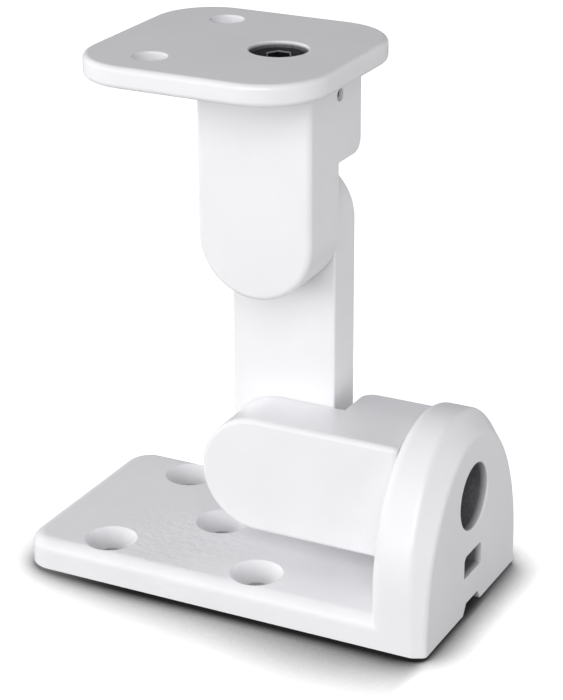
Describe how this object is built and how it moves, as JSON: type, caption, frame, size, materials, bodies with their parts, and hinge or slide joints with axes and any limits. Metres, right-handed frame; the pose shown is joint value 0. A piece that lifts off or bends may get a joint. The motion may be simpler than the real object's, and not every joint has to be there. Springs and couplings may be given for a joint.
{
  "type": "speaker wall bracket",
  "caption": "Cast wall bracket for a small loudspeaker: a wall plate with an arched cheek carries two swivel knuckles, joined by a flat link, and a speaker plate that tilts and turns.",
  "frame": {"origin": "centre of the square of four wall screw holes, on the wall plate's wall face", "axes": "+Z leaves the wall, +X runs along the wall plate towards its cheek, and the knuckles' ears face -Y"},
  "size_m": [0.1072, 0.0594, 0.1302],
  "materials": {
    "white_coat": "satin",
    "black_steel": "satin",
    "plated_steel": "satin",
    "friction_plastic": "matte"
  },
  "bodies": {
    "wall_plate": {"wall_plate": "white_coat"},
    "lower_knuckle": {"lower_knuckle": "white_coat", "lower_set_screw": "plated_steel", "cheek_bolt": "black_steel", "cheek_flat_washer": "plated_steel", "cheek_spring_washer": "plated_steel", "cheek_friction_ring": "friction_plastic", "lower_pivot_bolt": "black_steel", "lower_pivot_spring_washer": "plated_steel", "lower_pivot_friction_ring": "friction_plastic"},
    "link_arm": {"link_arm": "white_coat"},
    "upper_knuckle": {"upper_knuckle": "white_coat", "upper_set_screw": "plated_steel", "upper_pivot_bolt": "black_steel", "upper_pivot_spring_washer": "plated_steel", "upper_pivot_friction_ring": "friction_plastic", "plate_bolt": "black_steel", "plate_spring_washer": "plated_steel", "plate_friction_ring": "friction_plastic"},
    "speaker_plate": {"speaker_plate": "white_coat"}
  },
  "joints": [
    {"name": "cheek_swivel", "type": "hinge", "parent": "wall_plate", "child": "lower_knuckle", "pos_m": [0.0531, 0, 0.029], "axis": [1, 0, 0], "range_deg": [-75, 75]},
    {"name": "lower_pivot", "type": "hinge", "parent": "lower_knuckle", "child": "link_arm", "pos_m": [0.0163, 0, 0.029], "axis": [0, 1, 0], "range_deg": [-80, 10]},
    {"name": "upper_pivot", "type": "hinge", "parent": "link_arm", "child": "upper_knuckle", "pos_m": [0.0163, 0, 0.0882], "axis": [0, 1, 0], "range_deg": [-45, 75]},
    {"name": "plate_swivel", "type": "hinge", "parent": "upper_knuckle", "child": "speaker_plate", "pos_m": [0.0163, 0, 0.125], "axis": [0, 0, 1], "continuous": true}
  ]
}
